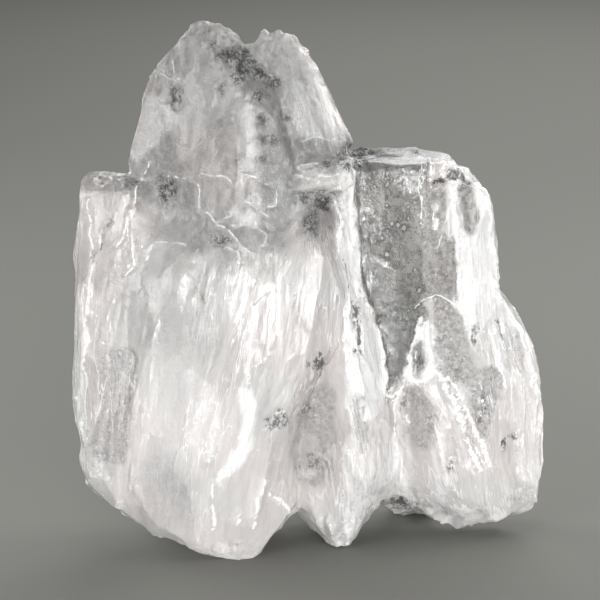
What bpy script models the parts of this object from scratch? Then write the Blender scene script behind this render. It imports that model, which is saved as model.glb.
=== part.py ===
"""Salt crystal: a hand specimen of colourless to milky halite, standing on its broken lower end.

The specimen is one grown mass of upright prisms. Each prism is lofted through level stations, and the prisms are
fused into one solid. Pockets are broken out of it, its faces are hollowed into flutes that follow the grain of the
salt, and its feet are levelled where it stands. The tables are in millimetres and the model in metres. +Z is up and
-Y is the front. The origin is at the bottom centre of the solid's box.
"""

import math
import random

import bmesh
import bpy
import numpy as np
from mathutils import Vector

MM = 0.001

# Driving dimensions, in millimetres.
HEIGHT = 106.0  # foot to main peak
LEFT_LEDGE = 74.5  # cleaved top of the left prism
RIGHT_LEDGE = 77.5  # cleaved top of the clear prism
SHOULDER = 80.2  # cleaved top of the shoulder block
FOOT_REACH = -1.2  # how far the feet are lofted below the floor, before they are levelled off at it
CELL = 1.0  # cell of the mesh that is hollowed
GROWTH = 0.5  # how far the whole skin is raised, so that the hollows in it leave the solid its size
LEDGE_SLOPE = 0.7  # a face that looks up more than this is a cleaved ledge
LEDGE_WEAR = 0.4  # how deep its hollows are, beside those of the other faces
TRIANGLES = 9000  # of the finished solid
SEED = 11

# Each prism is a list of stations from top to bottom: (height, left, right, front, back).
FRONT_MASS = [
    (74, -28, 4, -5.6, 7),
    (68, -31, 7, -8.2, 9),
    (62, -34, 8.4, -11.2, 10),
    (54, -37, 9.4, -13.4, 11),
    (43, -40, 8, -15.2, 12),
    (31, -42, 2, -16.2, 12),
    (23.5, -43.6, -0.2, -16.8, 11),
    (17.5, -44.4, -1.6, -16.8, 9.5),
    (13.6, -43, -1.5, -16.4, 8.5),
    (11.2, -40.4, -1.4, -16.2, 8),
    (8.2, -36.6, -1.4, -15.6, 6),
    (5.2, -32, -3.6, -15, 1),
    (2.8, -25.2, -6.4, -14.4, -4),
    (1.3, -20.4, -7.2, -14, -7),
    (FOOT_REACH, -16.5, -10, -13.2, -8.5),
]
TOWER = [
    (HEIGHT, -21.8, -18, -0.4, 4),
    (104.6, -23.2, -14.2, -1.8, 5.4),
    (102.4, -24.6, -11.6, -3, 6.6),
    (100.4, -26, -8, -4, 7.4),
    (98.4, -27.6, -5, -4.6, 8),
    (95.5, -30, -2, -5.4, 8.6),
    (92.5, -31, 0, -6, 9),
    (88.6, -31.4, 2, -6.6, 9.6),
    (83.6, -32.5, 3.4, -7.2, 10),
    (78.6, -33.2, 4, -7.8, 10.4),
    (66, -31, 4, -8.8, 10),
    (52, -30, 3, -9.2, 9),
]
TWIN_PEAK = [
    (104.2, -6.4, -3, 1, 7),
    (102.9, -8.4, -1.4, -0.4, 8),
    (101, -11.8, 0.6, -1.8, 9),
    (98.2, -13, 2.6, -2.8, 9.8),
    (94.5, -13, 4.9, -3.6, 10.5),
    (89.4, -12, 6.9, -4.2, 11),
    (85.6, -11, 8.5, -4.4, 11.6),
    (81.8, -10, 10.6, -4.2, 12.4),
    (77, -9, 10.8, -3.6, 12.6),
    (68, -8, 10, -2.4, 12),
]
LEFT_PRISM = [
    (LEFT_LEDGE, -42.6, -28, -5.4, 9.4),
    (66.8, -43.8, -27, -7.4, 9.8),
    (60, -44.3, -27, -8.4, 9.6),
    (52, -44.8, -27, -9, 9),
    (44, -44.8, -28, -9.6, 8),
    (34, -44.8, -30, -9.8, 7),
    (24, -44, -32, -9.6, 6),
    (19, -43.2, -34, -9, 5),
]
LEFT_RIB = [
    (50.8, -44.6, -38, -2, 5),
    (47, -45.4, -37, -3.4, 5.6),
    (40, -45.7, -36, -4.2, 6),
    (33, -46, -36, -4.6, 6),
    (29.2, -46.6, -36, -4.6, 5.6),
    (26.5, -46.3, -36, -4.2, 5),
    (23.6, -45.2, -37, -3.8, 4.6),
    (20.4, -43.9, -38, -3, 4),
]
MIDDLE_BLADE = [
    (77.2, 7.4, 12, -0.6, 8),
    (70, 5, 12, -2.4, 9),
    (62, 2, 12, -4.4, 10),
    (54, 0, 13.2, -6.6, 10),
    (45, -2, 15.8, -8.6, 10),
    (34, -2, 17.2, -10, 10),
    (23, -2, 18.4, -10.6, 9.5),
    (14.6, -1.4, 19, -10.4, 9),
    (10.2, -0.8, 18, -9.8, 8),
    (6.3, 0.2, 14.4, -9, 4),
    (3.4, 2.6, 12, -8, 0),
    (1.2, 5.2, 10.8, -7.2, -2.6),
    (FOOT_REACH, 6.2, 9.8, -6.6, -3.4),
]
CLEAR_PRISM = [
    (RIGHT_LEDGE, 8.6, 24.2, 0.8, 16.6),
    (60, 9, 25, -0.2, 17.2),
    (48, 9, 26, -1, 17.6),
    (36, 10, 28, -1.6, 18),
    (24, 12, 29, -2.2, 18.4),
    (14, 14, 29, -2, 18.6),
    (7, 17, 28.4, 0, 18.8),
    (3.5, 17.2, 28, 5, 19),
    (1.2, 17.6, 27.8, 12, 19.2),
    (FOOT_REACH, 18.4, 27.4, 15, 18.8),
]
RIGHT_PRISM = [
    (70.8, 22, 37.2, 0.4, 15),
    (67, 22, 38.2, 0, 15),
    (62.6, 22, 38.9, -0.4, 15),
    (57.5, 23, 39.3, -0.8, 15),
    (52.8, 24, 39.6, -1.2, 14.8),
    (48, 24, 40, -1.6, 14.6),
    (40, 24, 40.8, -2.2, 14.6),
    (30, 24, 42, -2.6, 14),
    (20, 24, 43, -2.8, 13),
    (10, 25, 43, -2, 12),
    (5, 26, 42, -0.4, 11),
    (2.2, 28.2, 38.6, 1.6, 9),
    (0.8, 29.6, 35.4, 3.2, 7),
]
RIGHT_STEP = [
    (77.2, 22, 30, 2.6, 15.5),
    (60, 22, 31, 1, 15.4),
]
RIGHT_LOW_STEP = [
    (74.6, 28, 33, 2.2, 13.5),
    (72.6, 28, 36.2, 1.4, 13.8),
    (60, 28, 37, 0.6, 14),
]
RIGHT_LOBE = [
    (49, 39.6, 41.4, 4.6, 11),
    (46.8, 38, 43.6, 3, 12),
    (43.6, 37, 45.1, 2, 12.6),
    (39.4, 36.5, 46.8, 1.2, 13),
    (34.8, 36, 48, 0.6, 13),
    (30.6, 36, 48.9, 0.2, 13),
    (26, 36, 49.5, 0, 13),
    (18, 36, 50, -0.2, 12.6),
    (10, 36, 50.4, 0.2, 12),
    (8, 36.4, 50, 0.8, 11.6),
    (5.4, 37.5, 48.8, 2, 10.6),
    (3.8, 38.5, 46, 3.2, 9.6),
    (2.2, 39.5, 42.5, 4.4, 8.6),
]
FAN = [
    (38, 22, 27, -2.6, 8),
    (32, 20, 31, -3.8, 9),
    (25, 17.6, 35.4, -4.8, 10),
    (17, 16, 39.4, -5.4, 10),
    (11, 16.4, 41.6, -5, 10),
    (7.6, 18.6, 42, -3.8, 10),
    (5, 23.4, 42, -1.8, 9.6),
    (3, 27, 40.6, 0.2, 9),
    (1, 29, 36, 2.8, 7.6),
]
SHOULDER_BLOCK = [
    (SHOULDER, -9, 9.8, -5.4, 10.8),
    (77, -9, 10.4, -6.4, 11),
    (73, -9, 9.4, -6.8, 11),
]
BACK_LEFT_RIB = [
    (66.5, -29, -14, 5, 14.4),
    (58, -31, -10, 5, 16),
    (40, -32, -8, 5, 17.4),
    (20, -30, -6, 4, 16.4),
    (8, -26, -4, 4, 13.4),
    (3, -22.5, -4, 4, 11),
    (FOOT_REACH, -19.5, -5.5, 5.2, 9.2),
]
BACK_MIDDLE_RIB = [
    (93, -17, -9, 4, 10.6),
    (90, -19, -4, 4, 12.4),
    (84, -20, 2, 4, 13.8),
    (70, -19, 8, 4, 15.4),
    (50, -16, 12, 5, 17),
    (30, -13, 15, 5, 17.6),
    (16, -10, 17, 4, 16.6),
    (9, -6, 16, 3, 14),
    (6.5, -2, 12, 2, 11),
]
# How a prism's front or back runs from its left to its right edge: (share of the width, share of the thickness that
# it lies back there). Straight runs between the points are its facets.
FLAT = [(0, 0.1), (0.06, 0.01), (0.5, 0.0), (0.94, 0.02), (1, 0.12)]
BLOCKY = [(0, 0.2), (0.12, 0.04), (0.4, 0.0), (0.7, 0.03), (0.9, 0.1), (1, 0.26)]
BROAD = [(0, 0.38), (0.07, 0.2), (0.22, 0.07), (0.46, 0.0), (0.68, 0.02), (0.86, 0.1), (0.96, 0.2), (1, 0.34)]
WEDGE = [(0, 0.3), (0.14, 0.16), (0.34, 0.09), (0.62, 0.0), (0.74, 0.06), (0.9, 0.26), (1, 0.42)]
LEFT_FACET = [(0, 0.44), (0.2, 0.16), (0.34, 0.05), (0.56, 0.0), (0.8, 0.05), (0.92, 0.16), (1, 0.34)]
ROUND = [(0, 0.4), (0.1, 0.22), (0.28, 0.07), (0.55, 0.0), (0.8, 0.1), (0.93, 0.26), (1, 0.42)]
FLUTED = [(0, 0.4), (0.12, 0.2), (0.2, 0.22), (0.34, 0.05), (0.42, 0.1), (0.56, 0.0), (0.64, 0.07), (0.78, 0.04),
          (0.86, 0.16), (1, 0.4)]
PRISMS = {
    "front_mass": (FRONT_MASS, BROAD, BROAD),
    "tower": (TOWER, LEFT_FACET, ROUND),
    "twin_peak": (TWIN_PEAK, WEDGE, ROUND),
    "left_prism": (LEFT_PRISM, BLOCKY, FLAT),
    "left_rib": (LEFT_RIB, ROUND, ROUND),
    "middle_blade": (MIDDLE_BLADE, WEDGE, ROUND),
    "clear_prism": (CLEAR_PRISM, FLAT, FLAT),
    "right_prism": (RIGHT_PRISM, BLOCKY, BLOCKY),
    "right_step": (RIGHT_STEP, FLAT, FLAT),
    "right_low_step": (RIGHT_LOW_STEP, BLOCKY, FLAT),
    "right_lobe": (RIGHT_LOBE, ROUND, ROUND),
    "fan": (FAN, FLUTED, ROUND),
    "shoulder_block": (SHOULDER_BLOCK, FLAT, FLAT),
    "back_left_rib": (BACK_LEFT_RIB, ROUND, BLOCKY),
    "back_middle_rib": (BACK_MIDDLE_RIB, LEFT_FACET, FLUTED),
}
# Places where the salt has broken away: (x, y, z, half-width, half-depth, half-height).
POCKETS = {
    "under_shoulder": (3.6, -9.0, 70.6, 4.0, 5.0, 2.2),
    "shoulder_corner": (10.8, 3.0, 79.4, 3.4, 4.0, 2.2),
    "right_step": (30.4, 1.0, 75.0, 2.6, 3.0, 2.2),
    "window_hollow": (23.6, -4.6, 40.8, 1.6, 3.0, 3.4),
    "lobe_notch": (-1.0, -16.5, 2.0, 1.8, 8.0, 5.4),
}
# The grain of the salt: (x, z, lean from upright in degrees, positive where a line runs right on its way down).
GRAIN = [
    (-40, 40, -3), (-20, 90, -6), (-20, 60, -12), (-12, 30, -16), (-20, 10, -10), (-2, 55, -12),
    (4, 95, 24), (8, 65, 10), (13, 30, 9), (8, 8, 0), (20, 60, 2), (22, 15, 6),
    (30, 30, 26), (34, 12, 16), (36, 60, 3), (46, 25, 3),
]
# Hollows in the faces: (how many, length, width, depth), each with a spread of about a third.
HOLLOWS = {
    "facet": (60, 17.0, 6.5, 1.2),
    "flute": (620, 8.5, 2.3, 0.9),
    "chip": (260, 2.8, 2.2, 0.8),
}


def face_line(station, profile, front):
    """Points along the front or the back of a prism at one station, from left to right."""
    height, left, right, near, far = station
    thickness = far - near
    level, inward = (near, 1) if front else (far, -1)
    return [
        Vector((left + (right - left) * share, level + inward * back * thickness, height)) * MM
        for share, back in profile
    ]


def loft(name, stations, front_profile, back_profile):
    """One prism as a closed mesh object."""
    bm = bmesh.new()
    rings = []
    for station in stations:
        front = face_line(station, front_profile, True)
        back = face_line(station, back_profile, False)
        rings.append([bm.verts.new(point) for point in front + back[::-1]])
    for upper, lower in zip(rings, rings[1:]):
        for i in range(len(upper)):
            j = (i + 1) % len(upper)
            bm.faces.new((upper[i], lower[i], lower[j], upper[j]))
    bm.faces.new(rings[0])
    bm.faces.new(rings[-1][::-1])
    bmesh.ops.triangulate(bm, faces=bm.faces[:])
    bmesh.ops.recalc_face_normals(bm, faces=bm.faces[:])
    return mesh_object(name, bm)


def rough_lump(name, place, rng):
    """The faceted lump of salt that is missing from a pocket."""
    x, y, z, half_width, half_depth, half_height = place
    bm = bmesh.new()
    bmesh.ops.create_icosphere(bm, subdivisions=2, radius=1.0)
    for vert in bm.verts:
        unit = vert.co * rng.uniform(0.8, 1.1)
        vert.co = Vector((x + half_width * unit.x, y + half_depth * unit.y, z + half_height * unit.z)) * MM
    return mesh_object(name, bm)


def floor_slab():
    """A slab under the floor, which levels the feet."""
    bm = bmesh.new()
    bmesh.ops.create_cube(bm, size=1.0)
    bmesh.ops.scale(bm, vec=(0.2, 0.2, 0.02), verts=bm.verts[:])
    bmesh.ops.translate(bm, vec=(0.0, 0.0, -0.01), verts=bm.verts[:])
    return mesh_object("floor_slab", bm)


def mesh_object(name, bm):
    mesh = bpy.data.meshes.new(name)
    bm.to_mesh(mesh)
    bm.free()
    obj = bpy.data.objects.new(name, mesh)
    bpy.context.scene.collection.objects.link(obj)
    return obj


def add_boolean(target, operation, others, name):
    """Joins every one of the others to the target, or cuts it from the target. The others become helpers."""
    group = bpy.data.collections.new(name)
    for other in others:
        bpy.context.scene.collection.objects.unlink(other)
        group.objects.link(other)
        other.hide_render = True
        other.display_type = "WIRE"
    bpy.context.scene.collection.children.link(group)
    modifier = target.modifiers.new(name, "BOOLEAN")
    modifier.operation = operation
    modifier.solver = "EXACT"
    modifier.operand_type = "COLLECTION"
    modifier.collection = group


def settle(obj):
    """Makes the object's modifiers part of its mesh."""
    evaluated = obj.evaluated_get(bpy.context.evaluated_depsgraph_get())
    mesh = bpy.data.meshes.new_from_object(evaluated)
    obj.modifiers.clear()
    obj.data = mesh


def lean_at(point):
    """The grain's lean at a point, from the nearest grain marks, in radians."""
    total, weights = 0.0, 0.0
    for x, z, degrees in GRAIN:
        weight = 1.0 / (4.0 + (point[0] - x) ** 2 + (point[2] - z) ** 2) ** 2
        total += weight * degrees
        weights += weight
    return math.radians(total / weights)


def hollow_out(obj, rng):
    """Sinks the faces into elongated hollows along the grain. Where two hollows meet, a sharp ridge is left."""
    mesh = obj.data
    count = len(mesh.vertices)
    points = np.empty(count * 3)
    normals = np.empty(count * 3)
    mesh.vertices.foreach_get("co", points)
    mesh.vertices.foreach_get("normal", normals)
    points = points.reshape(count, 3) / MM
    normals = normals.reshape(count, 3)
    depth = np.zeros(count)
    for number, length, width, sink in HOLLOWS.values():
        for _ in range(number):
            place = rng.randrange(count)
            centre, normal = points[place], normals[place]
            lean = lean_at(centre) + rng.gauss(0.0, 0.1)
            down = np.array((math.sin(lean), rng.uniform(-0.4, 0.4), -math.cos(lean)))
            along = down - normal * down.dot(normal)
            along /= max(np.linalg.norm(along), 0.05)
            across = np.cross(along, normal)
            spread = rng.uniform(0.65, 1.35)
            offset = points - centre
            u = offset @ along / (length * spread)
            v = offset @ across / (width * rng.uniform(0.65, 1.35))
            w = offset @ normal / (width * 1.5)
            hollow = sink * spread * (1.0 - u * u - v * v - w * w)
            if normal[2] > LEDGE_SLOPE:
                hollow *= LEDGE_WEAR
            hollow[normals @ normal < 0.3] = 0.0
            depth = np.maximum(depth, hollow)
    points += normals * (GROWTH - depth)[:, None]
    mesh.vertices.foreach_set("co", (points * MM).ravel())
    mesh.update()


def fit_height(obj):
    """Brings the solid to its height, and its box's bottom centre to the origin."""
    places = [vert.co for vert in obj.data.vertices]
    low = Vector(min(co[axis] for co in places) for axis in range(3))
    high = Vector(max(co[axis] for co in places) for axis in range(3))
    scale = HEIGHT * MM / (high.z - low.z)
    middle = Vector(((low.x + high.x) / 2.0, (low.y + high.y) / 2.0, low.z))
    for vert in obj.data.vertices:
        vert.co = (vert.co - middle) * scale
    obj.data.update()


def salt():
    """Colourless to milky salt, cleaved and partly dissolved."""
    material = bpy.data.materials.new("milky_salt")
    material.use_nodes = True
    shader = material.node_tree.nodes["Principled BSDF"]
    shader.inputs["Base Color"].default_value = (0.86, 0.85, 0.84, 1.0)
    shader.inputs["Roughness"].default_value = 0.22
    shader.inputs["Metallic"].default_value = 0.0
    shader.inputs["IOR"].default_value = 1.544
    shader.inputs["Transmission Weight"].default_value = 0.6
    return material


def main():
    for obj in list(bpy.data.objects):
        bpy.data.objects.remove(obj, do_unlink=True)
    rng = random.Random(SEED)
    prisms = [loft(name, *shape) for name, shape in PRISMS.items()]
    crystal = prisms[0]
    crystal.name = "salt_crystal"
    add_boolean(crystal, "UNION", prisms[1:], "grown_together")
    lumps = [rough_lump(f"{name}_lump", place, rng) for name, place in POCKETS.items()]
    add_boolean(crystal, "DIFFERENCE", lumps, "broken_away")
    cells = crystal.modifiers.new("cells", "REMESH")
    cells.mode = "VOXEL"
    cells.voxel_size = CELL * MM
    settle(crystal)
    hollow_out(crystal, rng)
    triangles = sum(len(face.vertices) - 2 for face in crystal.data.polygons)
    facets = crystal.modifiers.new("facets", "DECIMATE")
    facets.ratio = min(1.0, TRIANGLES / triangles)
    facets.use_collapse_triangulate = True
    add_boolean(crystal, "DIFFERENCE", [floor_slab()], "levelled")
    settle(crystal)
    fit_height(crystal)
    crystal.data.materials.clear()
    crystal.data.materials.append(salt())


main()
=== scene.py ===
"""Looks of the rock salt specimen: its fine relief, its clear and milky zones, and its studio."""

import math
import random

import bmesh
import bpy
import numpy as np
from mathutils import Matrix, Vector, noise
from mathutils.kdtree import KDTree

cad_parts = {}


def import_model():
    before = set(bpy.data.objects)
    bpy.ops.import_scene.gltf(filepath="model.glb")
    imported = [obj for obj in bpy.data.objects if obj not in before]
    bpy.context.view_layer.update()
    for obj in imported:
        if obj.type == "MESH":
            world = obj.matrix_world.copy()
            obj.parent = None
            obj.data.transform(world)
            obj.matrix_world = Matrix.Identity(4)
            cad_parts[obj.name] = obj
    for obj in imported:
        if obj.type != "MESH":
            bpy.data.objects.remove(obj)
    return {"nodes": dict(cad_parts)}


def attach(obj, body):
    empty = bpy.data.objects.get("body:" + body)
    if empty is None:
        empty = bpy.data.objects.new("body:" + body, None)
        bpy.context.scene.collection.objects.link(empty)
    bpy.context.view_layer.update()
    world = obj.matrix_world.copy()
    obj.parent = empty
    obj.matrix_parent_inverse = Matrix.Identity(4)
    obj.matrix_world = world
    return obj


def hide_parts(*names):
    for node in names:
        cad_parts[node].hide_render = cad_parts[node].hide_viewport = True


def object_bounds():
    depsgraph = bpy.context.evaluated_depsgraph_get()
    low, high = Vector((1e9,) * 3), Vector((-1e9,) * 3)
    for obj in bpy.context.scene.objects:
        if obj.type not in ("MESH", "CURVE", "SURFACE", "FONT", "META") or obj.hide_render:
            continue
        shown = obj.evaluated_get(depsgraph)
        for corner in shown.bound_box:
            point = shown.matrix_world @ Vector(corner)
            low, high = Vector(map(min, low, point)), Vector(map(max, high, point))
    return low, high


MM = 0.001
SEED = 5

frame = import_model()
cad_low, cad_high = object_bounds()

# ---------------------------------------------------------------- the front view

ELEVATION = math.radians(15.0)
DISTANCE = 600.0  # mm from the camera to the point it looks at
AIM = np.array((-2.05, -0.8, 50.12))  # mm
TOWARDS = np.array((0.0, -math.cos(ELEVATION), math.sin(ELEVATION)))  # from the crystal to the camera
UPWARDS = np.array((0.0, math.sin(ELEVATION), math.cos(ELEVATION)))
VIEW_SIZE = 600.0  # px, side of the front view, in which places on the front are given
VIEW_SCALE = 5.0  # px to a millimetre

# ---------------------------------------------------------------- marks of the front, in px of the front view

# Clear panes: outline, clearness.
PANES = {
    "right_face": ([(357, 163), (419, 158), (422, 215), (425, 300), (420, 330), (412, 345), (409, 368),
                    (400, 372), (391, 391), (385, 380), (382, 335), (372, 310), (362, 280),
                    (358, 220)], 1.0),
    "right_top": ([(350, 136), (446, 140), (450, 160), (352, 162)], 0.35),
    "right_half": ([(424, 160), (436, 186), (447, 186), (444, 230), (455, 245), (455, 300), (430, 300),
                    (425, 296)], 0.65),
    "lower_grey": ([(433, 303), (452, 303), (468, 345), (476, 382), (452, 384), (438, 362),
                    (434, 330)], 0.5),
    "slot_right": ([(459, 188), (474, 190), (477, 228), (462, 226)], 0.6),
    "island": ([(414, 350), (423, 343), (425, 360), (421, 374), (413, 372)], 0.9),
    "left_foot": ([(101, 354), (136, 352), (133, 400), (128, 450), (121, 466), (91, 456), (94, 430),
                   (101, 405)], 0.32),
    "foot_streak": ([(353, 398), (360, 398), (369, 440), (361, 456), (354, 440)], 0.5),
    "right_mottle": ([(466, 372), (500, 370), (500, 392), (488, 432), (480, 436), (470, 400)], 0.45),
    "lobe_patch": ([(506, 322), (520, 340), (524, 372), (512, 376), (504, 350)], 0.35),
    "fan_patch": ([(402, 392), (424, 392), (438, 424), (430, 452), (412, 440), (402, 420)], 0.35),
    "rough_patch": ([(318, 384), (335, 392), (332, 470), (304, 482), (292, 458), (296, 425),
                     (303, 400)], 0.28),
}

# Greyer stretches of the milky body: outline, greyness.
VEILS = {
    "tower": ([(165, 20), (215, 14), (262, 20), (300, 50), (300, 120), (296, 190), (250, 200), (130, 200),
               (140, 60)], 0.62),
    "column": ([(254, 95), (285, 95), (298, 150), (300, 205), (288, 236), (262, 232), (252, 180)], 1.0),
    "tower_dark": ([(206, 40), (240, 42), (262, 58), (285, 82), (280, 100), (258, 112), (240, 92),
                    (216, 66)], 1.0),
    "twin": ([(270, 36), (300, 44), (322, 90), (343, 135), (300, 140), (285, 90)], 0.5),
    "waist": ([(130, 160), (290, 150), (300, 215), (285, 250), (215, 268), (150, 240), (126, 256)], 0.65),
    "shoulder_foot": ([(292, 195), (334, 195), (332, 222), (315, 246), (298, 235)], 0.9),
    "shoulder_top": ([(295, 132), (446, 134), (440, 160), (300, 168)], 1.0),
    "left_ledge": ([(80, 168), (138, 168), (130, 196), (80, 196)], 0.6),
    "lower_left": ([(138, 468), (160, 458), (186, 470), (196, 510), (180, 530), (150, 520)], 0.3),
    "left_top": ([(78, 192), (135, 190), (205, 262), (190, 300), (78, 290)], 0.3),
    "left_middle": ([(110, 300), (200, 305), (208, 350), (130, 345)], 0.25),
    "fan": ([(398, 385), (440, 385), (470, 440), (470, 505), (420, 500), (396, 470)], 0.15),
    "centre_foot": ([(262, 415), (290, 410), (286, 470), (262, 480)], 0.15),
    "rough_patch": ([(310, 384), (335, 392), (332, 470), (304, 482), (290, 450), (296, 415)], 0.35),
    "window_low": ([(366, 285), (420, 288), (418, 330), (410, 368), (392, 392), (384, 340)], 0.6),
    "window_mid": ([(360, 215), (408, 212), (405, 262), (362, 265)], 0.3),
}

# Dark inclusions, and one dark spot of painted shade in the notch between the middle tip and the right lobe,
# at 403, 503: x, y, half width, half height, darkness.
SPOTS = [
    (226, 54, 9, 8, 0.9), (243, 57, 9, 10, 1.0), (238, 74, 10, 11, 0.9), (258, 72, 10, 8, 1.0),
    (271, 82, 9, 7, 1.0), (250, 66, 9, 8, 0.8), (259, 97, 9, 10, 0.8), (261, 120, 6, 6, 0.8),
    (288, 118, 6, 5, 0.6), (272, 138, 14, 7, 0.7), (221, 92, 6, 11, 0.6), (211, 44, 12, 6, 0.6),
    (176, 97, 9, 12, 0.7), (240, 157, 6, 5, 0.5), (262, 160, 9, 7, 0.6), (166, 190, 13, 19, 0.7),
    (222, 240, 13, 9, 0.6), (322, 203, 13, 9, 1.0), (302, 200, 9, 6, 0.9), (310, 224, 10, 16, 0.8),
    (130, 184, 11, 9, 0.7), (98, 180, 14, 5, 0.5), (346, 154, 10, 9, 1.0), (362, 155, 11, 9, 1.0),
    (334, 164, 16, 4, 0.9), (441, 182, 7, 3, 0.9), (455, 175, 6, 5, 1.0), (467, 182, 7, 3, 0.9),
    (319, 364, 7, 11, 1.0), (307, 366, 6, 5, 0.6), (277, 421, 15, 10, 0.9), (418, 358, 5, 13, 0.9),
    (380, 323, 5, 11, 0.7), (475, 335, 4, 14, 0.8), (482, 410, 6, 26, 0.6), (305, 408, 9, 9, 0.6),
    # This row holds the spot at 403, 503: painted shade in the notch, not an inclusion.
    (310, 462, 14, 12, 0.6), (354, 352, 3, 8, 0.8), (403, 503, 20, 5, 0.8), (403, 405, 6, 10, 0.6),
    (453, 464, 5, 13, 0.7), (504, 446, 3, 8, 0.9), (514, 436, 9, 4, 0.6), (516, 458, 8, 12, 0.3),
    (352, 167, 12, 5, 0.9), (92, 466, 3, 5, 0.6), (202, 298, 4, 11, 0.5), (375, 235, 14, 18, 0.5),
    (395, 320, 20, 22, 0.4), (370, 215, 8, 8, 0.5), (395, 175, 8, 9, 0.4), (388, 150, 16, 5, 0.5),
    (414, 150, 14, 5, 0.5), (434, 154, 8, 5, 0.5), (388, 260, 12, 10, 0.4),
]

# Bright white stretches: outline, whiteness.
FROST = {
    "tower_left": ([(157, 95), (179, 119), (162, 137), (137, 165), (134, 168), (144, 105)], 0.5),
    "tower_right": ([(272, 44), (300, 50), (322, 90), (343, 135), (322, 142), (300, 140), (288, 90)], 0.2),
    "leaf": ([(239, 394), (247, 388), (257, 415), (251, 445), (236, 470), (214, 482), (236, 448),
              (241, 425)], 1.0),
    "striped": ([(188, 372), (210, 385), (222, 420), (219, 450), (204, 464), (196, 448), (182, 440),
                 (186, 410)], 0.35),
    "left_edge": ([(76, 300), (84, 300), (86, 440), (84, 480), (72, 430), (72, 380)], 0.45),
    "ridge_band": ([(342, 170), (357, 170), (357, 280), (370, 320), (384, 352), (386, 392), (374, 420),
                    (352, 430), (346, 380), (346, 300), (340, 250)], 0.9),
    "right_ridge": ([(449, 184), (458, 184), (460, 226), (474, 232), (477, 188), (488, 190), (493, 240),
                     (497, 300), (482, 330), (478, 350), (468, 345), (462, 320), (456, 300), (455, 240),
                     (447, 215)], 0.85),
    "right_strip": ([(484, 300), (500, 296), (520, 330), (538, 390), (541, 480), (524, 490), (508, 400),
                     (490, 340)], 0.4),
    "foot_bands": ([(372, 420), (394, 430), (396, 470), (372, 500), (345, 535), (345, 440)], 0.5),
    "fan_band": ([(397, 396), (404, 396), (408, 430), (414, 470), (404, 502), (396, 480)], 0.6),
    "fan_band_2": ([(430, 440), (440, 436), (450, 470), (446, 500), (436, 492)], 0.5),
    "glitter": ([(297, 438), (312, 432), (320, 458), (312, 478), (300, 474)], 0.4),
    "island_rim": ([(418, 318), (424, 322), (430, 338), (436, 352), (434, 368), (428, 382), (424, 378),
                    (427, 360), (425, 345), (415, 346), (411, 352), (412, 372), (420, 380), (410, 384),
                    (405, 366), (408, 349), (416, 340)], 1.0),
}

# Stretches with lines along the grain: outline, strength.
FIBRES = {
    "left_edge": ([(76, 290), (98, 290), (98, 440), (84, 480), (72, 430), (72, 380)], 0.9),
    "left_foot": ([(98, 350), (138, 348), (133, 450), (98, 458)], 0.6),
    "middle": ([(200, 262), (300, 250), (340, 200), (348, 330), (300, 400), (205, 390)], 0.8),
    "striped": ([(180, 375), (225, 375), (228, 420), (218, 465), (180, 458)], 0.7),
    "band": ([(335, 180), (357, 172), (384, 352), (400, 430), (398, 500), (345, 540), (300, 500),
              (345, 400)], 0.8),
    "right": ([(447, 184), (490, 190), (500, 300), (540, 390), (541, 480), (500, 510), (400, 505),
               (395, 390), (432, 380), (480, 400), (484, 360), (456, 300)], 0.65),
    "twin": ([(285, 60), (300, 50), (343, 135), (300, 140)], 0.7),
    "foot": ([(100, 470), (290, 400), (290, 520), (210, 550), (110, 510)], 0.3),
    "fan": ([(400, 390), (432, 384), (480, 440), (490, 500), (440, 515), (400, 500)], 0.5),
}

# Crumbled edges: x, y, half width, half height, strength.
CRUMBS = [
    (205, 30, 32, 12, 1.2), (240, 50, 30, 14, 1.1), (280, 45, 26, 16, 1.4), (356, 154, 26, 10, 1.0),
    (300, 60, 18, 26, 0.9), (150, 64, 14, 16, 0.6), (455, 178, 22, 8, 1.0), (320, 205, 16, 8, 0.8),
    (314, 180, 26, 9, 0.6), (400, 504, 30, 9, 1.3), (455, 517, 60, 10, 1.5), (525, 500, 20, 10, 0.8),
    (340, 540, 16, 8, 0.6), (235, 550, 50, 8, 0.5), (110, 178, 30, 8, 0.5),
]

# Small corrections of the crystal's outline: x, y, half width, half height, moves right and up in mm.
SHIFTS = [
    (278, 27, 9, 9, 0.0, -1.2), (247, 41, 10, 8, 0.0, -0.9), (263, 38, 5, 8, 0.0, 0.7),
    (291, 42, 7, 8, 0.0, 0.6), (400, 148, 42, 8, 0.0, 0.9), (450, 522, 34, 10, 0.0, 0.8),
    (84, 186, 14, 22, -1.2, 0.0), (80, 225, 12, 40, -0.6, 0.0), (544, 440, 12, 50, -0.7, 0.0),
    (90, 480, 18, 24, -0.7, -0.3), (140, 110, 10, 40, -0.6, 0.0),
]

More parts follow.
